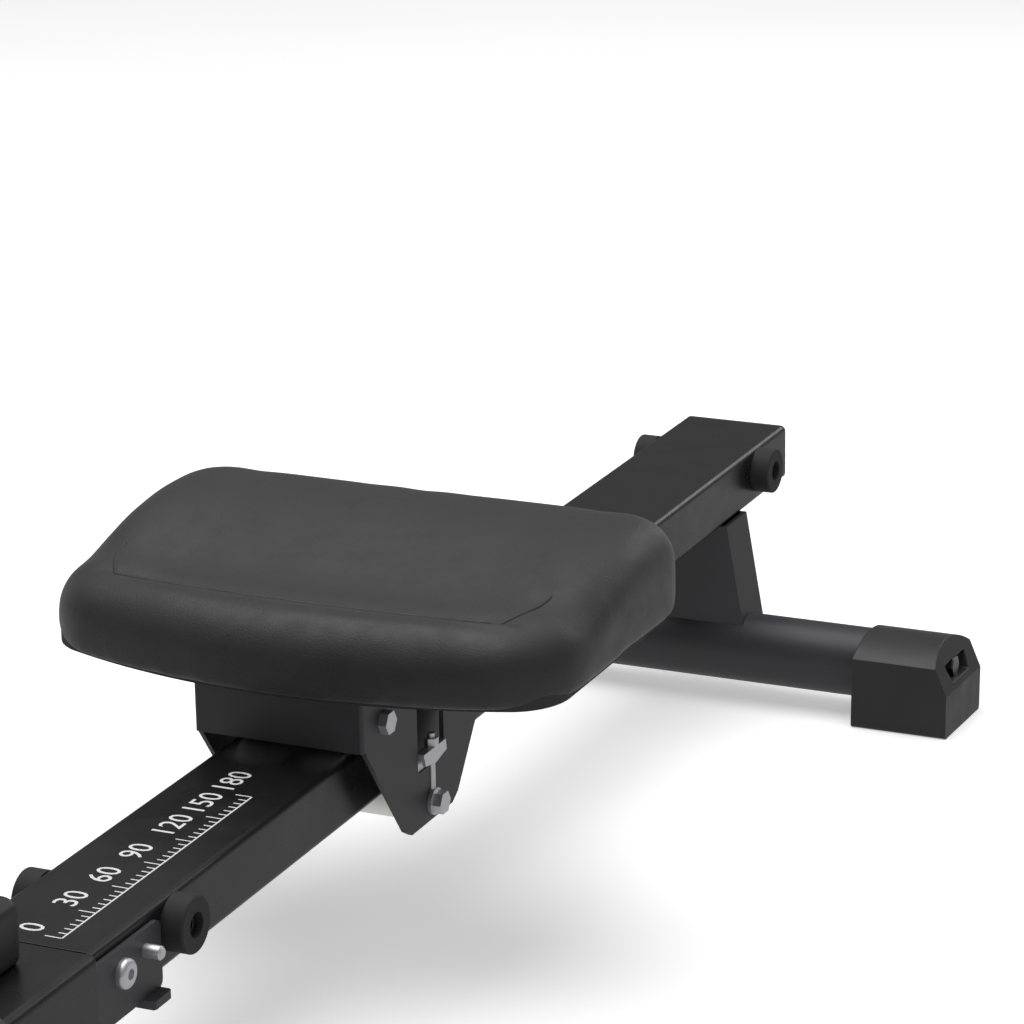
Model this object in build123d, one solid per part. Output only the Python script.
from build123d import *
import math
import os

# Folding magnetic rowing machine, in millimetres, +Z up.
# The origin is on the floor, under the middle of the machine's length and width.
# +X points to the rear end of the rail, and the flywheel is at the -X end.

# Driving dimensions
RAIL_PITCH = 2.4
RAIL_REAR_TOP = 175.1
HALF_WIDTH = 223.0

# Rail, drawn in its own frame: s along it (0 at the rear end), z up from its top face
RAIL_WIDTH = 80.0
RAIL_HEIGHT = 40.7
RAIL_CORNER = 4.0
RAIL_WALL = 2.0
RAIL_FRONT = -1044.5
RAIL_END_CAP = 2.5

# Fold hinge
PIVOT_S = -1018.6
PIVOT_Z = -21.3
PIVOT_R = 6.0
LOCK_S = -994.6
LOCK_Z = -18.0
LOCK_R = 4.0
FOLD_ANGLE = 82.0
RUNNING = 0.05
CHEEK_INNER = 40.5
CHEEK_THICK = 3.0

# Front beam
BEAM_WALL = 3.0
BEAM_HEIGHT = 43.0
BEAM_CORNER = 5.0
BEAM_END_S = -1045.5
SWING_R = 34.6
BEAM_BEND = 1150.0
BEAM_FRONT = 1880.0
BEAM_TOP = 127.0

# Stabilisers and their end caps
TUBE_R = 25.4
TUBE_WALL = 2.0
TUBE_Z = 37.2
REAR_TUBE = 118.7
FRONT_TUBE = 1860.0
CAP_INNER_Y = 152.0
CAP_WIDTH = 80.0
CAP_SHOULDER = 51.5
CAP_PEAK = 63.0
TUBE_END_Y = 205.0
CAP_BOLT_Z = 43.0
CAP_SEAT_Y = 212.0
CAP_SLOPE = 16.0
POST_TOP = (107.6, 134.0, 40.8, 84.0)
POST_LOW = (115.2, 40.0, 40.4, 126.0)
POST_WALL = 3.0
END_PLATE = 3.0

# Bump stops on the rail
STOP_FRONT_S = -956.0
STOP_REAR_S = -58.0
STOP_Z = -17.3
STOP_R = 16.5
STOP_LENGTH = 14.0

# Seat carriage
SEAT_S = -661.5
PLATE_Y = 56.0
PLATE = 3.0
PLATE_TOP = 43.0
PLATE_HALF = 87.5
PLATE_LOW = 6.8
PLATE_BOTTOM = -66.0
SKIRT_LOW = 8.4
WINDOW_HALF = 18.5
WINDOW_LOW = -30.0
UPPER_AXLE_OFFSET = 64.0
UPPER_AXLE_Z = 20.0
UPPER_ROLLER_R = 19.7
LOWER_AXLE_S = -660.5
LOWER_AXLE_Z = -54.5
LOWER_ROLLER_R = 13.5
AXLE_R = 4.0
AXLE_FLATS = 13.0
EYE_R = 8.5
EYE_THICK = 2.4
TENSION_R = 2.2
TAB_TOP = -18.0
TAB_THICK = 3.0
TAB_REACH = 3.5
ROLLER_INNER_Y = 8.0
ROLLER_OUTER_Y = 36.0

# Seat
SEAT_HALF_WIDTH = 177.0
SEAT_FRONT = -775.0
SEAT_REAR = -517.0
SEAT_BOW = 36.0
SEAT_CORNER = 46.0
BASE_THICK = 10.0
BASE_INSET = 9.0

# Flywheel, drum and brake, placed by distance ahead of the rail's rear end
FLYWHEEL_D = 1710.0
FLYWHEEL_Z = 290.0
FLYWHEEL_R = 140.0
WHEEL_AXLE_R = 6.0
DRUM_D = 1545.0
DRUM_Z = 470.0
DRUM_R = 30.0
DRUM_FLANGE_R = 45.0
DRUM_AXLE_R = 8.0
BIG_PULLEY_R = 85.0
SMALL_PULLEY_R = 22.0
BELT_THICK = 3.0
BELT_GAP = 0.3
SIDE_PLATE_INNER = 34.0
SIDE_PLATE = 4.0
BRAKE_D = 1760.0
BRAKE_Z = 450.0
PIN_R = 5.0

# Housing
HOUSING_HALF = 62.0
HOUSING_WALL = 3.0
HOUSING_REAR = 1440.0
HOUSING_FRONT = 1900.0
HOUSING_TOP = 590.0

# Pull handle
STRAP_THICK = 2.0
STRAP_HALF = 12.0
HANDLE_D = 1422.0
HANDLE_Z = DRUM_Z + DRUM_R + STRAP_THICK / 2
GUIDE_D = 1490.0
GUIDE_R = 12.0
GUIDE_Z = HANDLE_Z - STRAP_THICK / 2 - GUIDE_R - BELT_GAP
HANDLE_R = 12.5
HANDLE_HALF = 215.0
GRIP_R = 16.0
GRIP_INNER = 62.0

# Footplates
FOOT_AXLE_D = 1345.0
FOOT_AXLE_Z = 105.0
FOOT_AXLE_R = 8.0
FOOT_INNER = 70.0
FOOT_WIDTH = 105.0
FOOT_LENGTH = 300.0
FOOT_HEEL = 110.0
FOOT_THICK = 10.0
FOOT_STANDOFF = 22.0
FOOT_ANGLE = 45.0

# Console
MAST_LOW = (1665.0, 520.0)
MAST_HIGH = (1612.0, 770.0)
MAST_R = 15.0
CONSOLE_ANGLE = 35.0
CONSOLE_WIDTH = 180.0
CONSOLE_HEIGHT = 125.0
CONSOLE_DEPTH = 28.0

# Transport wheels
TRANSPORT_D = 1918.0
TRANSPORT_Z = 36.0
TRANSPORT_R = 28.0
TRANSPORT_AXLE_R = 4.0

# The rail's lower rear corner stands a little behind its upper one
REAR_OVERHANG = RAIL_HEIGHT * math.sin(math.radians(RAIL_PITCH))
REAR_X = (TRANSPORT_D + TRANSPORT_R - REAR_OVERHANG) / 2
RAIL = Location((REAR_X, 0, RAIL_REAR_TOP), (0, -RAIL_PITCH, 0))


def ahead(distance):
    """X of a place so far ahead of the rail's rear end."""
    return REAR_X - distance


def prism_y(section, low, high):
    """A prism along Y from a section drawn in X and Z."""
    return extrude(Plane.XZ.offset(-high) * section, amount=high - low, dir=(0, -1, 0))


def prism_x(section, low, high):
    """A prism along X from a section drawn in Y and Z."""
    return extrude(Plane.YZ.offset(low) * section, amount=high - low, dir=(1, 0, 0))


def prism_z(section, low, high):
    """A prism along Z from a section drawn in X and Y."""
    return extrude(Plane.XY.offset(low) * section, amount=high - low, dir=(0, 0, 1))


def polar(radius, degrees):
    """A point by radius and angle."""
    angle = math.radians(degrees)
    return (radius * math.cos(angle), radius * math.sin(angle))


def block(x_low, x_high, y_low, y_high, z_low, z_high):
    """A box between six limits."""
    size = (x_high - x_low, y_high - y_low, z_high - z_low)
    middle = ((x_low + x_high) / 2, (y_low + y_high) / 2, (z_low + z_high) / 2)
    return Pos(*middle) * Box(*size)


def rod_y(radius, low, high, x, z):
    """A round bar along Y."""
    return prism_y(Pos(x, z) * Circle(radius), low, high)


def ring_y(outer, inner, low, high, x, z):
    """A ring or tube along Y."""
    return prism_y(Pos(x, z) * (Circle(outer) - Circle(inner)), low, high)


def hex_y(flats, low, high, x, z):
    """A hexagon bar along Y, by its width across flats."""
    return prism_y(Pos(x, z) * RegularPolygon(flats / 2, 6, major_radius=False), low, high)


def mirrored(shape):
    """The same shape on the other side of the middle plane."""
    return mirror(shape, about=Plane.XZ)


def outline(points, radius):
    """A polygon with every corner rounded."""
    face = Polygon(*points, align=None)
    return fillet(face.vertices(), radius)


def save(name, *shapes):
    """Write one named node from one or more separate solids."""
    solids = [solid for shape in shapes for solid in shape.solids()]
    export_step(Compound(children=solids), f"parts/{name}.step")


def hex_bolt_y(radius, flats, head, low, high, x, z, side):
    """A bolt along Y whose head lies outside its shank on one side, +1 or -1."""
    shank = rod_y(radius, low, high, x, z)
    if side > 0:
        return shank + hex_y(flats, high, high + head, x, z)
    return shank + hex_y(flats, low - head, low, x, z)


# Rail


def rail_section():
    """Outer section of the rail, with its top face at z = 0."""
    return Pos(0, -RAIL_HEIGHT / 2) * RectangleRounded(RAIL_WIDTH, RAIL_HEIGHT, RAIL_CORNER)


def rail_bore():
    """Inner section of the rail."""
    inner_width = RAIL_WIDTH - 2 * RAIL_WALL
    inner_height = RAIL_HEIGHT - 2 * RAIL_WALL
    inner = RectangleRounded(inner_width, inner_height, RAIL_CORNER - RAIL_WALL)
    return Pos(0, -RAIL_HEIGHT / 2) * inner


def make_rail():
    """The rail tube and what is fixed inside its ends."""
    tube = prism_x(rail_section() - rail_bore(), RAIL_FRONT, -RAIL_END_CAP)
    radius = math.hypot(LOCK_S - PIVOT_S, LOCK_Z - PIVOT_Z)
    half = LOCK_R + 0.3
    start = math.degrees(math.atan2(LOCK_Z - PIVOT_Z, LOCK_S - PIVOT_S))
    sweep = FOLD_ANGLE + 12
    ring = Circle(radius + half) - Circle(radius - half)
    wedge = make_face(
        Polyline(
            (0, 0),
            polar(60, start),
            polar(60, start - sweep / 2),
            polar(60, start - sweep),
            close=True,
        )
    )
    end = Pos(*polar(radius, start)) * Circle(half)
    slot = Pos(PIVOT_S, PIVOT_Z) * (ring & wedge)
    tube -= prism_y(slot, -50, 50)
    tube -= prism_y(Pos(PIVOT_S, PIVOT_Z) * end, -50, 50)
    tube -= rod_y(PIVOT_R + RUNNING, -50, 50, PIVOT_S, PIVOT_Z)
    for s in (STOP_FRONT_S, STOP_REAR_S):
        tube -= rod_y(4.0, -50, 50, s, STOP_Z)
    sleeve_end = RAIL_WIDTH / 2 - RAIL_WALL
    sleeve = ring_y(9.0, PIVOT_R + RUNNING, -sleeve_end, sleeve_end, PIVOT_S, PIVOT_Z)
    save("rail_tube", RAIL * (tube + sleeve))

    cap = prism_x(rail_section(), -RAIL_END_CAP, 0)
    plug = Pos(0, -RAIL_HEIGHT / 2) * RectangleRounded(75.6, 36.3, 2.0)
    core = Pos(0, -RAIL_HEIGHT / 2) * RectangleRounded(69.6, 30.3, 2.0)
    cap += prism_x(plug - core, -18, -RAIL_END_CAP)
    save("rail_end_cap", RAIL * cap)


def make_bump_stops():
    """Four rubber stops, and the bolts of the stops and of the rear end caps."""
    stops = []
    bolts = []
    wall = RAIL_WIDTH / 2
    for s in (STOP_FRONT_S, STOP_REAR_S):
        stop = rod_y(STOP_R, wall, wall + STOP_LENGTH, s, STOP_Z)
        stop = fillet(stop.edges().group_by(Axis.Y)[-1], 1.5)
        stop -= rod_y(4.0, wall - 1, wall + 3, s, STOP_Z)
        stop -= rod_y(7.4, wall + 3, wall + STOP_LENGTH + 1, s, STOP_Z)
        bolt = rod_y(4.0, wall - 14, wall + 3, s, STOP_Z)
        bolt += rod_y(6.5, wall + 3, wall + 10, s, STOP_Z)
        bolt -= hex_y(6.0, wall + 6, wall + 11, s, STOP_Z)
        stops += [RAIL * stop, RAIL * mirrored(stop)]
        bolts += [RAIL * bolt, RAIL * mirrored(bolt)]
    save("bump_stops", *stops)
    save("rail_fasteners", *bolts, cap_bolt(REAR_TUBE), mirrored(cap_bolt(REAR_TUBE)))


# Stabilisers


def stabiliser(distance):
    """A cross tube with a threaded plate welded in each end."""
    x = ahead(distance)
    tube = ring_y(TUBE_R, TUBE_R - TUBE_WALL, -TUBE_END_Y, TUBE_END_Y, x, TUBE_Z)
    low = TUBE_END_Y - END_PLATE
    plate = rod_y(TUBE_R - TUBE_WALL, low, TUBE_END_Y, x, TUBE_Z)
    plate -= rod_y(4.0, low, TUBE_END_Y, x, CAP_BOLT_Z)
    return tube + plate + mirrored(plate)


def cap_section(distance):
    """End view of a plastic end cap: upright sides under a low arch."""
    x = ahead(distance)
    half = CAP_WIDTH / 2
    side = Polyline((x - half, CAP_SHOULDER), (x - half, 0), (x + half, 0), (x + half, CAP_SHOULDER))
    arch = ThreePointArc((x + half, CAP_SHOULDER), (x, CAP_PEAK), (x - half, CAP_SHOULDER))
    return make_face(side + arch)


def end_cap(distance):
    """A plastic end cap on the +Y end of a stabiliser tube."""
    x = ahead(distance)
    cap = prism_y(cap_section(distance), CAP_INNER_Y, HALF_WIDTH)
    facet = make_face(
        Polyline((HALF_WIDTH, 32), (HALF_WIDTH - CAP_SLOPE, 68), (HALF_WIDTH + 20, 68), (HALF_WIDTH + 20, 32), close=True)
    )
    cap -= prism_x(facet, x - CAP_WIDTH, x + CAP_WIDTH)
    cap = fillet(cap.edges().filter_by(Axis.Y).group_by(Axis.Z)[0], 3.0)
    cap -= rod_y(TUBE_R, CAP_INNER_Y - 1, TUBE_END_Y, x, TUBE_Z)
    recess = outline([(x - 18.5, 36.5), (x + 18.5, 36.5), (x + 23, 49.5), (x - 23, 49.5)], 1.5)
    cap -= prism_y(recess, CAP_SEAT_Y, HALF_WIDTH + 1)
    cap -= rod_y(4.0, TUBE_END_Y - 1, CAP_SEAT_Y + 1, x, CAP_BOLT_Z)
    return cap


def cap_bolt(distance):
    """The bolt that holds an end cap on its tube."""
    x = ahead(distance)
    return hex_bolt_y(4.0, 13.0, 5.0, TUBE_END_Y - 15, CAP_SEAT_Y, x, CAP_BOLT_Z, 1)


def make_rear_support():
    """Flared post, cross tube and end caps under the rear of the rail."""
    x = ahead(REAR_TUBE)

    def flare(wall):
        faces = []
        for distance, height, depth, width in (POST_LOW, POST_TOP):
            plan = Pos(ahead(distance), 0) * Rectangle(depth - 2 * wall, width - 2 * wall)
            faces.append((Plane.XY.offset(height) * plan).face())
        return loft(faces)

    post = flare(0) - flare(POST_WALL)
    rail_bottom = RAIL * block(-200, 0, -100, 100, -RAIL_HEIGHT, 0)
    post -= rail_bottom
    post -= rod_y(TUBE_R, -100, 100, x, TUBE_Z)
    pieces = post.solids().sort_by(SortBy.VOLUME)
    save("rear_post", pieces[-1])
    save("rear_stabiliser_tube", stabiliser(REAR_TUBE))
    save("rear_cap_right", end_cap(REAR_TUBE))
    save("rear_cap_left", mirrored(end_cap(REAR_TUBE)))


def front_cap():
    """A front end cap, with a fork for its transport wheel."""
    x = ahead(TRANSPORT_D)
    cap = end_cap(FRONT_TUBE)
    lug = outline([(x - 12, 22), (x + 24, 14), (x + 24, 58), (x - 12, 50)], 5.0)
    cap += prism_y(lug, 158, 163)
    cap += prism_y(lug, 197, 202)
    cap -= rod_y(TRANSPORT_R + 2, 163, 197, x, TRANSPORT_Z)
    cap -= rod_y(TRANSPORT_AXLE_R, 150, 210, x, TRANSPORT_Z)
    return cap


def make_front_support():
    """Cross tube, end caps and transport wheels at the front."""
    x = ahead(TRANSPORT_D)
    save("front_stabiliser_tube", stabiliser(FRONT_TUBE))
    save("front_cap_right", front_cap())
    save("front_cap_left", mirrored(front_cap()))
    bolt = cap_bolt(FRONT_TUBE)
    axle = rod_y(TRANSPORT_AXLE_R, 156, 204, x, TRANSPORT_Z)
    save("front_fasteners", bolt, mirrored(bolt), axle, mirrored(axle))
    wheel = ring_y(TRANSPORT_R, TRANSPORT_AXLE_R + RUNNING, 164, 196, x, TRANSPORT_Z)
    wheel = fillet(wheel.edges().filter_by(GeomType.CIRCLE).group_by(SortBy.RADIUS)[-1], 4.0)
    for low, high in ((163, 170), (190, 197)):
        wheel -= ring_y(20.0, 9.0, low, high, x, TRANSPORT_Z)
    save("transport_wheel_right", wheel)
    save("transport_wheel_left", mirrored(wheel))


# Front frame and hinge


def beam_solid(wall):
    """The front beam, drawn solid and thinner by a wall all round."""
    width = 2 * (CHEEK_INNER + CHEEK_THICK) - 2 * wall
    height = BEAM_HEIGHT - 2 * wall
    section = RectangleRounded(width, height, BEAM_CORNER - wall)
    slanted = prism_x(Pos(0, -BEAM_HEIGHT / 2) * section, -1180, BEAM_END_S + wall)
    level = Pos(0, BEAM_TOP - BEAM_HEIGHT / 2) * section
    front = prism_x(level, ahead(BEAM_FRONT) + wall, ahead(BEAM_BEND))
    return RAIL * slanted + front


def make_front_frame():
    """The front beam with its foot, and the hinge bracket that the rail folds in."""
    beam = beam_solid(0) - beam_solid(BEAM_WALL)
    beam -= RAIL * rod_y(SWING_R, -CHEEK_INNER, CHEEK_INNER, PIVOT_S, PIVOT_Z)
    foot_low = TUBE_Z + 5
    foot = block(ahead(1876), ahead(1844), -46, 46, foot_low, BEAM_TOP - BEAM_HEIGHT)
    foot -= rod_y(TUBE_R, -60, 60, ahead(FRONT_TUBE), TUBE_Z)
    beam += foot
    beam -= rod_y(FOOT_AXLE_R, -60, 60, ahead(FOOT_AXLE_D), FOOT_AXLE_Z)
    pieces = beam.solids().sort_by(SortBy.VOLUME)
    save("front_beam", pieces[-1])

    side = make_face(
        Polyline(
            (-1150, -BEAM_HEIGHT),
            (BEAM_END_S, -BEAM_HEIGHT),
            (BEAM_END_S, -6),
            (-977, -6),
            (-977, -46),
            (-1150, -46),
            close=True,
        )
    )
    rear = side.vertices().group_by(Axis.X)[-1]
    side = fillet(rear, 5.0)
    cheek = prism_y(side, CHEEK_INNER, CHEEK_INNER + CHEEK_THICK)
    cheek -= rod_y(PIVOT_R, 30, 60, PIVOT_S, PIVOT_Z)
    cheek -= rod_y(LOCK_R + RUNNING, 30, 60, LOCK_S, LOCK_Z)
    web = block(-1150, -1062, -CHEEK_INNER, CHEEK_INNER, -46, -BEAM_HEIGHT)
    tie = block(-998, -979, -50, 50, -51, -46)
    tie = fillet(tie.edges().filter_by(Axis.Z), 2.0)
    bracket = cheek + mirrored(cheek) + web + tie
    save("hinge_bracket", RAIL * bracket)
    pad = block(-997, -981, -36, 36, -46, -RAIL_HEIGHT - 0.3)
    save("rail_rest_pad", RAIL * fillet(pad.edges().filter_by(Axis.Z), 2.0))

    outside = CHEEK_INNER + CHEEK_THICK
    bolt = rod_y(PIVOT_R, -outside, outside + 12, PIVOT_S, PIVOT_Z)
    head = rod_y(8.6, -outside - 4.8, -outside, PIVOT_S, PIVOT_Z)
    head = fillet(head.edges().group_by(Axis.Y)[0], 3.0)
    head -= hex_y(6.0, -outside - 6, -outside - 1.8, PIVOT_S, PIVOT_Z)
    nut = hex_y(18.0, outside, outside + 9, PIVOT_S, PIVOT_Z)
    nut -= rod_y(PIVOT_R, outside - 1, outside + 10, PIVOT_S, PIVOT_Z)
    save("fold_pivot_bolt", RAIL * (bolt + head), RAIL * nut)

    pin = rod_y(LOCK_R, -outside - 11, outside + 14, LOCK_S, LOCK_Z)
    pin = chamfer(pin.edges().group_by(Axis.Y)[0], 1.2)
    collar = rod_y(8.0, outside + 0.3, outside + 8, LOCK_S, LOCK_Z)
    knob = rod_y(13.0, outside + 8, outside + 28, LOCK_S, LOCK_Z)
    knob = fillet(knob.edges().group_by(Axis.Y)[-1], 5.0)
    save("lock_pin", RAIL * (pin + collar + knob))

    spine = prism_x(Pos(0, 18) * RectangleRounded(26, 40, 9.0), -1150, -1067)
    spine = fillet(spine.edges().group_by(Axis.X)[-1], 6.0)
    spine -= block(-1200, -1000, -40, 40, -20, 0)
    spine = RAIL * spine
    level = Pos(0, BEAM_TOP + 18) * RectangleRounded(26, 40, 9.0)
    spine += prism_x(level, ahead(HOUSING_REAR), ahead(1148))
    spine -= beam_solid(0)
    pieces = spine.solids().sort_by(SortBy.VOLUME)
    save("beam_spine_cover", pieces[-1])


# Seat carriage


def make_carriage():
    """Folded plate carriage, its axles, rollers and tension screws."""
    half = PLATE_HALF
    side = make_face(
        Polyline(
            (SEAT_S - half, PLATE_TOP),
            (SEAT_S - half, PLATE_LOW),
            (SEAT_S - 37.4, -61.0),
            (SEAT_S - 29.0, PLATE_BOTTOM),
            (SEAT_S + 29.0, PLATE_BOTTOM),
            (SEAT_S + 37.4, -61.0),
            (SEAT_S + half, PLATE_LOW),
            (SEAT_S + half, PLATE_TOP),
            close=True,
        )
    )
    plate = prism_y(side, PLATE_Y - PLATE, PLATE_Y)
    window = outline(
        [
            (SEAT_S - WINDOW_HALF, 36.0),
            (SEAT_S - WINDOW_HALF, WINDOW_LOW),
            (SEAT_S + WINDOW_HALF, WINDOW_LOW),
            (SEAT_S + WINDOW_HALF, 36.0),
        ],
        2.0,
    )
    plate -= prism_y(window, 40, 60)
    slot = Pos(LOWER_AXLE_S, LOWER_AXLE_Z + 2) * SlotOverall(16, 2 * AXLE_R, rotation=90)
    plate -= prism_y(slot, 40, 60)
    channel_high = WINDOW_LOW + 1
    channel_low = LOWER_AXLE_Z + 6
    channel_mid = (channel_high + channel_low) / 2
    channel = Pos(LOWER_AXLE_S, channel_mid) * Rectangle(2 * TENSION_R + 2, channel_high - channel_low)
    plate -= prism_y(channel, 40, 60)
    for side_sign in (-1, 1):
        s = SEAT_S + side_sign * UPPER_AXLE_OFFSET
        plate -= rod_y(AXLE_R, 40, 60, s, UPPER_AXLE_Z)
    inner = PLATE_Y - PLATE
    top = block(SEAT_S - half, SEAT_S + half, -inner, inner, PLATE_TOP - PLATE, PLATE_TOP)
    front = block(SEAT_S - half - 4, SEAT_S - half, -PLATE_Y, PLATE_Y, SKIRT_LOW, PLATE_TOP)
    front = fillet(front.edges().filter_by(Axis.Z).group_by(Axis.X)[0], 2.5)
    rear = block(SEAT_S + half, SEAT_S + half + 3, -PLATE_Y, PLATE_Y, SKIRT_LOW, PLATE_TOP)
    for s, y in seat_screw_places():
        top -= Pos(s, y, PLATE_TOP) * Cylinder(4.0, 20)
    for s in (SEAT_S - UPPER_AXLE_OFFSET, SEAT_S + UPPER_AXLE_OFFSET):
        for y in (-22, 22):
            top -= Pos(s, y, PLATE_TOP) * Box(26, 34, 20)
    bracket = plate + mirrored(plate) + top + front + rear
    save("carriage_bracket", RAIL * bracket)

    axles = []
    for side_sign in (-1, 1):
        s = SEAT_S + side_sign * UPPER_AXLE_OFFSET
        axle = hex_bolt_y(AXLE_R, AXLE_FLATS, 5.5, -PLATE_Y, PLATE_Y + 8, s, UPPER_AXLE_Z, -1)
        nut = hex_y(AXLE_FLATS, PLATE_Y, PLATE_Y + 6.5, s, UPPER_AXLE_Z)
        nut -= rod_y(AXLE_R, PLATE_Y - 1, PLATE_Y + 8, s, UPPER_AXLE_Z)
        axles += [RAIL * axle, RAIL * nut]
        outer = ring_y(8.0, AXLE_R, ROLLER_OUTER_Y + 0.3, inner, s, UPPER_AXLE_Z)
        middle = ring_y(8.0, AXLE_R, 0.3 - ROLLER_INNER_Y, ROLLER_INNER_Y - 0.3, s, UPPER_AXLE_Z)
        axles += [RAIL * outer, RAIL * mirrored(outer), RAIL * middle]

    seat_y = PLATE_Y + 0.2 + EYE_THICK
    bolt = hex_bolt_y(AXLE_R, AXLE_FLATS, 6.0, -seat_y, seat_y + 8, LOWER_AXLE_S, LOWER_AXLE_Z, -1)
    nut = hex_y(AXLE_FLATS, seat_y, seat_y + 6.5, LOWER_AXLE_S, LOWER_AXLE_Z)
    nut -= rod_y(AXLE_R, PLATE_Y, PLATE_Y + 13, LOWER_AXLE_S, LOWER_AXLE_Z)
    save("carriage_fasteners", *axles, RAIL * bolt, RAIL * nut, *seat_screws())

    rollers = {"upper_roller_front": -1, "upper_roller_rear": 1}
    for name, side_sign in rollers.items():
        s = SEAT_S + side_sign * UPPER_AXLE_OFFSET
        roller = ring_y(UPPER_ROLLER_R, AXLE_R + RUNNING, ROLLER_INNER_Y, ROLLER_OUTER_Y, s, UPPER_AXLE_Z)
        roller = fillet(roller.edges().filter_by(GeomType.CIRCLE).group_by(SortBy.RADIUS)[-1], 2.0)
        save(name, RAIL * roller, RAIL * mirrored(roller))
    lower = ring_y(LOWER_ROLLER_R, AXLE_R + RUNNING, -34, 34, LOWER_AXLE_S, LOWER_AXLE_Z)
    for sign in (-1, 1):
        low, high = sorted((sign * 34, sign * 50))
        lower += ring_y(LOWER_ROLLER_R - 4, AXLE_R + RUNNING, low, high, LOWER_AXLE_S, LOWER_AXLE_Z)
    save("lower_roller", RAIL * lower)

    inside = PLATE_Y - PLATE
    under = TAB_TOP - TAB_THICK
    clip = block(SEAT_S - 17, SEAT_S + 14, inside, PLATE_Y + TAB_REACH, under, TAB_TOP)
    clip += block(SEAT_S - 17, SEAT_S + 14, inside, inside + 2, WINDOW_LOW, under)
    lip_face = make_face(
        Polyline(
            (SEAT_S - 17, TAB_TOP),
            (SEAT_S - 15, TAB_TOP - 8),
            (SEAT_S - 1, TAB_TOP - 10.5),
            (SEAT_S + 15, TAB_TOP - 7),
            (SEAT_S + 14, TAB_TOP),
            close=True,
        )
    )
    clip += prism_y(lip_face, PLATE_Y + TAB_REACH - 2, PLATE_Y + TAB_REACH)
    stem = Pos(LOWER_AXLE_S, PLATE_Y - 0.2)
    clip -= prism_z(stem * Circle(TENSION_R + 0.2), WINDOW_LOW - 1, TAB_TOP + 1)
    screw = prism_z(stem * Circle(TENSION_R), LOWER_AXLE_Z + AXLE_R + 2.5, TAB_TOP + 8)
    screw += prism_z(stem * RegularPolygon(4.0, 6, major_radius=False), TAB_TOP, TAB_TOP + 5)
    screw += ring_y(EYE_R, AXLE_R, PLATE_Y + 0.2, PLATE_Y + 0.2 + EYE_THICK, LOWER_AXLE_S, LOWER_AXLE_Z)
    sides = [RAIL * clip, RAIL * mirrored(clip), RAIL * screw, RAIL * mirrored(screw)]
    save("roller_tensioners", *sides)


# Seat


def seat_screw_places():
    """Where the seat's four screws stand, along and across the rail."""
    return [(s, y) for s in (SEAT_S - 30, SEAT_S + 30) for y in (-38, 38)]


def seat_screws():
    """Four screws up through the carriage into the base board."""
    screws = []
    for s, y in seat_screw_places():
        shank = Pos(s, y, PLATE_TOP + 1) * Cylinder(4.0, 8)
        head = prism_z(Pos(s, y) * RegularPolygon(6.5, 6, major_radius=False), 35, 40)
        screws.append(RAIL * (shank + head))
    return screws


def seat_plan(inset):
    """Plan outline of the seat: bowed front, straight sides, rounded corners."""
    half = SEAT_HALF_WIDTH - inset
    front = SEAT_FRONT + inset
    rear = SEAT_REAR - inset
    edge = Polyline((front + SEAT_BOW, -half), (rear, -half), (rear, half), (front + SEAT_BOW, half))
    bow = ThreePointArc((front + SEAT_BOW, half), (front, 0), (front + SEAT_BOW, -half))
    face = make_face(edge + bow)
    return fillet(face.vertices(), SEAT_CORNER - inset)


def seat_profile():
    """Side section of the pad: high front lip, hollow, raised rear."""
    crest = Spline(
        (SEAT_FRONT, PLATE_TOP + 24),
        (-764, 84),
        (-738, 91),
        (-690, 88),
        (-650, 97),
        (-600, 106),
        (-558, 105),
        (-530, 91),
        (SEAT_REAR, 64),
    )
    base = Polyline(
        (SEAT_REAR, 64),
        (SEAT_REAR, PLATE_TOP),
        (SEAT_FRONT, PLATE_TOP),
        (SEAT_FRONT, PLATE_TOP + 24),
    )
    return make_face(crest + base)


def make_seat():
    """The seat's base board and pad."""
    board = prism_z(seat_plan(BASE_INSET), PLATE_TOP, PLATE_TOP + BASE_THICK)
    pad = prism_y(seat_profile(), -SEAT_HALF_WIDTH, SEAT_HALF_WIDTH)
    pad &= prism_z(seat_plan(0), PLATE_TOP, 120)
    pad -= prism_z(seat_plan(BASE_INSET), PLATE_TOP - 1, PLATE_TOP + BASE_THICK)
    for s, y in seat_screw_places():
        board -= Pos(s, y, PLATE_TOP) * Cylinder(4.0, 10)
    save("seat_base_board", RAIL * board)
    save("seat_pad", RAIL * pad)


# Drive


def belt_outline(grow):
    """Outline of the drive belt, grown outwards from the pulley seats."""
    wheel = Vector(ahead(FLYWHEEL_D), FLYWHEEL_Z)
    drum = Vector(ahead(DRUM_D), DRUM_Z)
    span = drum - wheel
    base = math.atan2(span.Y, span.X)
    small = SMALL_PULLEY_R + grow
    big = BIG_PULLEY_R + grow
    lean = math.acos((small - big) / span.length)
    points = []
    for centre, radius, turn in ((wheel, small, -1), (drum, big, -1), (drum, big, 1), (wheel, small, 1)):
        angle = base + turn * lean
        points.append((centre.X + radius * math.cos(angle), centre.Y + radius * math.sin(angle)))
    shape = Polygon(*points, align=None)
    shape += Pos(wheel.X, wheel.Y) * Circle(small)
    shape += Pos(drum.X, drum.Y) * Circle(big)
    return shape


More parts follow.
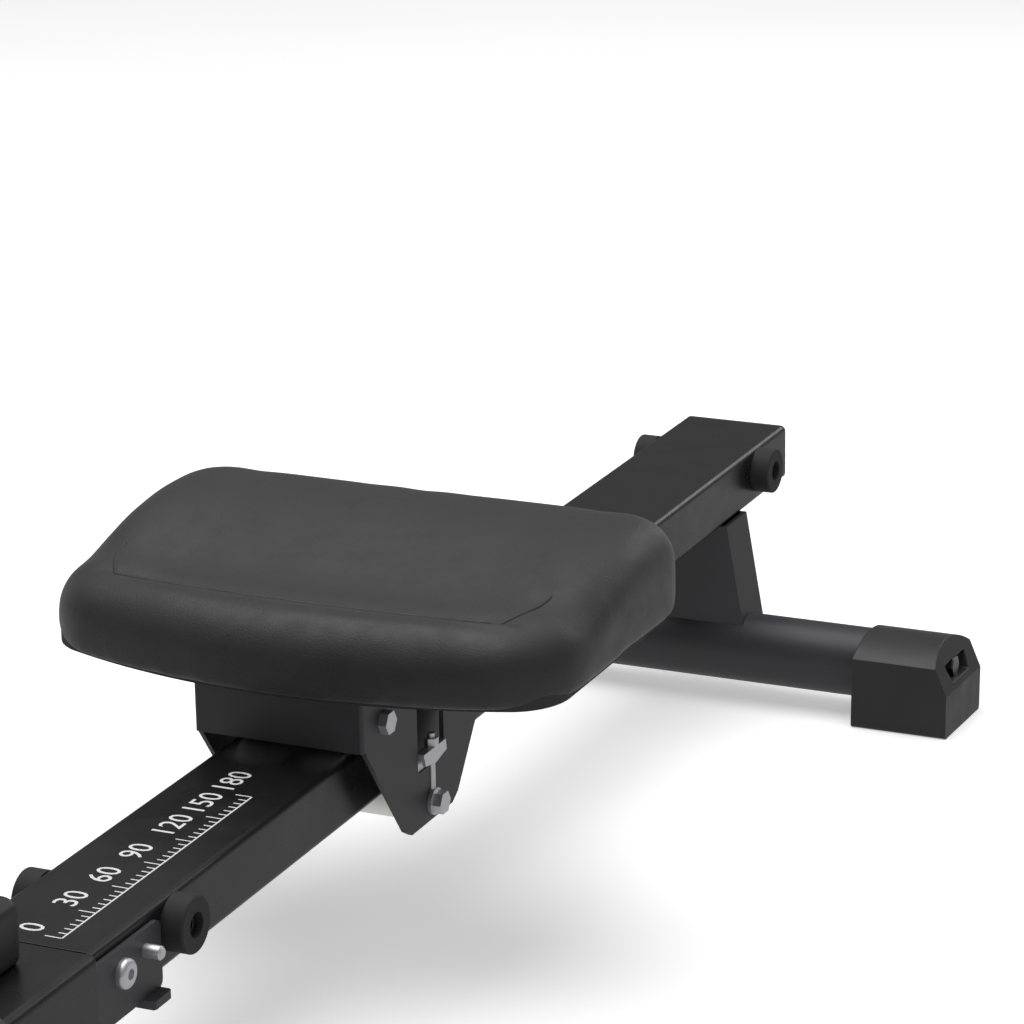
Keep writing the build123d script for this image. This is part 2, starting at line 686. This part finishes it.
def make_drive():
    """Side plates, flywheel, belt drive and strap drum."""
    side = outline(
        [
            (ahead(1470), BEAM_TOP),
            (ahead(1500), 555),
            (ahead(1700), 555),
            (ahead(1770), 480),
            (ahead(1840), BEAM_TOP),
        ],
        1.0,
    )
    plate = prism_y(side, SIDE_PLATE_INNER, SIDE_PLATE_INNER + SIDE_PLATE)
    hole = Pos(ahead(1600), 230) * RectangleRounded(110, 120, 25)
    plate -= prism_y(hole, 0, 60)
    bores = (
        (WHEEL_AXLE_R, FLYWHEEL_D, FLYWHEEL_Z),
        (DRUM_AXLE_R, DRUM_D, DRUM_Z),
        (PIN_R, BRAKE_D, BRAKE_Z),
        (PIN_R, GUIDE_D, GUIDE_Z),
    )
    for radius, distance, z in bores:
        plate -= rod_y(radius, 0, 60, ahead(distance), z)
    save("side_plates", plate, mirrored(plate))

    x = ahead(FLYWHEEL_D)
    z = FLYWHEEL_Z
    wheel = ring_y(FLYWHEEL_R, 16.0, -27, -9, x, z)
    for low, high in ((-27, -22), (-14, -9)):
        wheel -= ring_y(112.0, 32.0, low, high, x, z)
    for step in range(6):
        dx, dz = polar(72, 60 * step)
        wheel -= rod_y(16.0, -30, 0, x + dx, z + dz)
    save("flywheel", wheel)
    bearings = [
        ring_y(16.0, WHEEL_AXLE_R + RUNNING, low, low + 7, x, z) for low in (-27, -16)
    ]
    save("flywheel_bearings", *bearings)
    pulley = ring_y(SMALL_PULLEY_R, 6.5, 17, 31, x, z)
    pulley += ring_y(15.0, 6.5, -9, 17, x, z)
    for y in (16, 31):
        pulley += ring_y(SMALL_PULLEY_R + 4, 6.5, y, y + 1.5, x, z)
    save("flywheel_pulley", pulley)
    axle = rod_y(WHEEL_AXLE_R, -50, 50, x, z)
    nuts = []
    for sign in (-1, 1):
        low, high = sorted((sign * 38, sign * 47))
        nut = hex_y(19.0, low, high, x, z) - rod_y(WHEEL_AXLE_R, low, high, x, z)
        nuts.append(nut)
    drum_axle = rod_y(DRUM_AXLE_R, -38, 38, ahead(DRUM_D), DRUM_Z)
    save("drive_axles", axle, *nuts, drum_axle)

    belt = belt_outline(BELT_GAP + BELT_THICK) - belt_outline(BELT_GAP)
    save("drive_belt", prism_y(belt, 18, 30.5))

    x = ahead(DRUM_D)
    z = DRUM_Z
    big = ring_y(BIG_PULLEY_R, DRUM_AXLE_R + RUNNING, 17, 31, x, z)
    for y in (16, 31):
        big += ring_y(BIG_PULLEY_R + 4, DRUM_AXLE_R + RUNNING, y, y + 1.5, x, z)
    for low, high in ((15, 21), (27, 33)):
        big -= ring_y(76.0, 20.0, low, high, x, z)
    save("drive_pulley", big)
    drum = ring_y(DRUM_R - 0.3, DRUM_AXLE_R + RUNNING, -16, 16, x, z)
    for y in (-16, 14):
        drum += ring_y(DRUM_FLANGE_R, DRUM_AXLE_R + RUNNING, y, y + 2, x, z)
    save("strap_drum", drum)
    spring = ring_y(40.0, DRUM_AXLE_R, -33, -18, x, z)
    save("recoil_spring_case", spring)

    roller = ring_y(GUIDE_R, PIN_R + RUNNING, -15, 15, ahead(GUIDE_D), GUIDE_Z)
    save("guide_roller", roller)
    pins = []
    reach = SIDE_PLATE_INNER + SIDE_PLATE
    for distance, z, low, high in (
        (GUIDE_D, GUIDE_Z, -reach, 15.5),
        (BRAKE_D, BRAKE_Z, -reach, reach),
        (MAST_HIGH[0], MAST_HIGH[1] + 8, -30, 30),
    ):
        pins.append(rod_y(PIN_R, low, high, ahead(distance), z))
    save("cross_pins", *pins)


def make_brake():
    """Magnet arm that swings over the flywheel's rim."""
    wheel = Location((ahead(FLYWHEEL_D), FLYWHEEL_Z))
    pivot = (ahead(BRAKE_D), BRAKE_Z)
    arc = make_face(
        Polyline((0, 0), polar(210, 112), polar(210, 143), polar(210, 174), close=True)
    )
    band = wheel * ((Circle(144) - Circle(112)) & arc)
    lever = outline(
        [
            (pivot[0] + 12, pivot[1] + 12),
            (pivot[0] - 12, pivot[1] + 12),
            (pivot[0] - 34, pivot[1] - 36),
            (pivot[0] - 2, pivot[1] - 30),
        ],
        3.0,
    )
    cheek = band + lever
    rim_arc = wheel * ((Circle(148) - Circle(144)) & arc)
    arm = prism_y(cheek, -33.5, -31.5) + prism_y(cheek, -4.5, -2.5)
    arm += prism_y(rim_arc, -33.5, -2.5)
    arm += ring_y(9.0, 4.0, -31.5, -4.5, *pivot)
    arm -= rod_y(PIN_R + RUNNING, -60, 60, *pivot)
    save("brake_arm", arm)
    magnets = []
    for step in range(4):
        dx, dz = polar(128, 124 + 14 * step)
        for low, high in ((-31.5, -28.5), (-7.5, -4.5)):
            magnets.append(rod_y(10.0, low, high, ahead(FLYWHEEL_D) + dx, FLYWHEEL_Z + dz))
    save("brake_magnets", *magnets)


# Housing


def housing_outline(inset):
    """Side outline of the housing."""
    low = BEAM_TOP + 1
    rear = HOUSING_REAR + inset
    front = HOUSING_FRONT - inset
    points = [
        (ahead(rear), low + inset),
        (ahead(rear), 520),
        (ahead(1500), HOUSING_TOP - inset),
        (ahead(1690), HOUSING_TOP - inset),
        (ahead(1800 - inset), 530),
        (ahead(front), 300),
        (ahead(front), low + inset),
    ]
    return outline(points, 22.0)


def make_housing():
    """The two halves of the housing, each with an arm that the handle rests on."""
    shell = prism_y(housing_outline(0), 0, HOUSING_HALF)
    shell = fillet(shell.edges().group_by(Axis.Y)[-1], 14.0)
    hollow = prism_y(housing_outline(HOUSING_WALL), -1, HOUSING_HALF - HOUSING_WALL)
    shell -= fillet(hollow.edges().group_by(Axis.Y)[-1], 14.0 - HOUSING_WALL)
    base_slot = block(ahead(1850), ahead(1462), -1, 41, BEAM_TOP - 5, BEAM_TOP + 12)
    shell -= base_slot
    mouth = block(ahead(1460), ahead(1430), -1, 17, HANDLE_Z - 8, HANDLE_Z + 8)
    shell -= mouth
    shell -= mast_bar(MAST_R + 0.5, MAST_LOW, MAST_HIGH)
    shell -= prism_z(Pos(ahead(1540), 0) * Circle(6.0), HOUSING_TOP - 10, HOUSING_TOP + 5)
    shell -= prism_x(Pos(0, BEAM_TOP + 18) * RectangleRounded(26.2, 40.2, 9.1), ahead(1445), ahead(1430))
    rest = outline(
        [
            (ahead(HOUSING_REAR + 1), HANDLE_Z - 34),
            (ahead(HOUSING_REAR + 1), HANDLE_Z - HANDLE_R - 0.4),
            (ahead(HANDLE_D - 14), HANDLE_Z - HANDLE_R - 0.4),
            (ahead(HANDLE_D - 14), HANDLE_Z - HANDLE_R - 7),
        ],
        0.8,
    )
    shell += prism_y(rest, 34, 46)
    bosses = ((1475.0, 300.0), (1860.0, 220.0), (1770.0, 520.0), (1520.0, 572.0))
    screws = []
    for distance, z in bosses:
        x = ahead(distance)
        shell -= rod_y(3.0, -1, HOUSING_HALF + 1, x, z)
        screw = rod_y(3.0, -HOUSING_HALF, HOUSING_HALF, x, z)
        head = rod_y(5.5, HOUSING_HALF, HOUSING_HALF + 2.5, x, z)
        screws.append(screw + head + mirrored(head))
    save("housing_right", shell)
    save("housing_left", mirrored(shell))
    save("housing_screws", *screws)

# Handle


def make_handle():
    """Pull bar, foam grips, strap yoke and the strap itself."""
    x = ahead(HANDLE_D)
    z = HANDLE_Z
    bar = ring_y(HANDLE_R, HANDLE_R - 1.5, -HANDLE_HALF, HANDLE_HALF, x, z)
    save("handle_bar", bar)
    grip = rod_y(GRIP_R, GRIP_INNER, HANDLE_HALF - 2, x, z)
    grip = fillet(grip.edges().filter_by(GeomType.CIRCLE), 3.0)
    grip -= rod_y(HANDLE_R, 0, HANDLE_HALF, x, z)
    save("handle_grips", grip, mirrored(grip))
    yoke = outline([(x - 18, z - 13), (x + 17, z - 17), (x + 17, z + 17), (x - 18, z + 13)], 4.0)
    yoke = prism_y(yoke, -20, 20)
    yoke -= rod_y(HANDLE_R, -30, 30, x, z)
    save("strap_yoke", yoke)
    strap = block(ahead(DRUM_D), x - 18, -STRAP_HALF, STRAP_HALF, z - STRAP_THICK / 2, z + STRAP_THICK / 2)
    save("pull_strap", strap)


# Footplates


def make_footplates():
    """Pivoting footplates with heel cups and toe straps on a common axle."""
    x = ahead(FOOT_AXLE_D)
    z = FOOT_AXLE_Z
    end = FOOT_INNER + FOOT_WIDTH + 4
    axle = rod_y(FOOT_AXLE_R, -end, end, x, z)
    collars = []
    for sign in (-1, 1):
        for near, far in ((44, 64), (end - 6, end + 4)):
            low, high = sorted((sign * near, sign * far))
            ring = ring_y(13.0, FOOT_AXLE_R, low, high, x, z)
            collars.append(ring)
    save("foot_axle", axle, *collars)

    frame = Location((x, 0, z)) * Rot(0, FOOT_ANGLE, 0)
    low_v = FOOT_STANDOFF
    high_v = low_v + FOOT_THICK
    heel = FOOT_HEEL
    toe = -(FOOT_LENGTH - FOOT_HEEL)
    inner = FOOT_INNER
    outer = FOOT_INNER + FOOT_WIDTH
    plan = Pos((heel + toe) / 2, (inner + outer) / 2) * RectangleRounded(FOOT_LENGTH, FOOT_WIDTH, 24)
    plate = prism_z(plan, low_v, high_v)
    for step in range(11):
        u = toe + 30 + 18 * step
        plate += block(u, u + 7, inner + 14, outer - 14, high_v - 1, high_v + 2)
    rim_plan = plan & (Pos(heel - 30, (inner + outer) / 2) * Rectangle(61, FOOT_WIDTH))
    core_plan = Pos(heel - 48, (inner + outer) / 2) * RectangleRounded(84, FOOT_WIDTH - 14, 20)
    plate += prism_z(rim_plan - core_plan, high_v - 1, high_v + 34)
    for low, high in ((inner + 4, inner + 12), (outer - 12, outer - 4)):
        lug = Pos(0, low_v / 2) * Rectangle(26, low_v) + Circle(13)
        plate += prism_y(lug, low, high)
        plate -= rod_y(FOOT_AXLE_R + RUNNING, low - 1, high + 1, 0, 0)
    strap_u = -70.0
    arch_outer = make_face(
        ThreePointArc((inner - 0.5, high_v), ((inner + outer) / 2, high_v + 78), (outer + 0.5, high_v))
        + Line((outer + 0.5, high_v), (inner - 0.5, high_v))
    )
    arch_inner = make_face(
        ThreePointArc((inner + 2.5, high_v - 1), ((inner + outer) / 2, high_v + 75), (outer - 2.5, high_v - 1))
        + Line((outer - 2.5, high_v - 1), (inner + 2.5, high_v - 1))
    )
    strap = prism_x(arch_outer - arch_inner, strap_u - 20, strap_u + 20)
    for name, shape in (("footplate", plate), ("foot_strap", strap)):
        save(f"{name}_right", frame * shape)
        save(f"{name}_left", mirrored(frame * shape))


# Console


def mast_bar(radius, low, high):
    """A round bar between two places given by distance ahead and height."""
    start = Vector(ahead(low[0]), 0, low[1])
    finish = Vector(ahead(high[0]), 0, high[1])
    along = finish - start
    plane = Plane(origin=start, x_dir=(0, 1, 0), z_dir=along)
    return extrude(plane * Circle(radius), amount=along.length)


def make_console():
    """Mast, tilting console, screen, buttons and the resistance knob."""
    hinge_x = ahead(MAST_HIGH[0])
    hinge_z = MAST_HIGH[1] + 8
    mast = mast_bar(MAST_R, MAST_LOW, MAST_HIGH)
    foot_x = ahead(MAST_LOW[0])
    foot_z = MAST_LOW[1]
    inner = SIDE_PLATE_INNER
    mast += block(foot_x - 22, foot_x + 22, -inner, inner, foot_z - 4, foot_z + 2)
    mast += rod_y(14.0, -20, 20, hinge_x, hinge_z)
    mast -= rod_y(PIN_R, -30, 30, hinge_x, hinge_z)
    save("console_mast", mast)

    place = Location((hinge_x, 0, hinge_z)) * Rot(0, CONSOLE_ANGLE, 0)
    low = 18.0
    high = low + CONSOLE_DEPTH
    case = prism_z(RectangleRounded(CONSOLE_HEIGHT, CONSOLE_WIDTH, 22), low, high)
    case = fillet(case.edges().group_by(Axis.Z)[-1], 5.0)
    for near, far in ((20.4, 30), (-30, -20.4)):
        ear = Pos(0, low / 2 + 0.5) * Rectangle(24, low + 1) + Circle(12)
        case += prism_y(ear, near, far)
    case -= rod_y(PIN_R + RUNNING, -40, 40, 0, 0)
    screen_plan = Pos(-18, 0) * RectangleRounded(62, 128, 6)
    case -= prism_z(screen_plan, high - 2, high + 1)
    screen = prism_z(screen_plan, high - 2, high - 0.4)
    buttons = (("button_mode", -44), ("button_set", 0), ("button_reset", 44))
    for name, y in buttons:
        seat = Pos(38, y) * SlotOverall(24, 13, rotation=90)
        case -= prism_z(offset(seat, 0.3), high - 4, high + 1)
        cap = prism_z(seat, high - 2.2, high + 1.8)
        save(name, place * cap)
    save("console_case", place * case)
    save("console_screen", place * screen)

    knob_x = ahead(1540)
    stem = Pos(knob_x, 0, HOUSING_TOP - 2) * Cylinder(5.7, 16)
    dial = prism_z(Pos(knob_x, 0) * Circle(23), HOUSING_TOP + 1, HOUSING_TOP + 19)
    dial = fillet(dial.edges().group_by(Axis.Z)[-1], 3.0)
    for step in range(12):
        dx, dy = polar(24.5, 30 * step)
        dial -= Pos(knob_x + dx, dy, HOUSING_TOP + 12) * Cylinder(3.0, 12)
    save("resistance_knob", stem + dial)


os.makedirs("parts", exist_ok=True)
make_rail()
make_bump_stops()
make_rear_support()
make_front_support()
make_front_frame()
make_carriage()
make_seat()
make_drive()
make_brake()
make_housing()
make_handle()
make_footplates()
make_console()
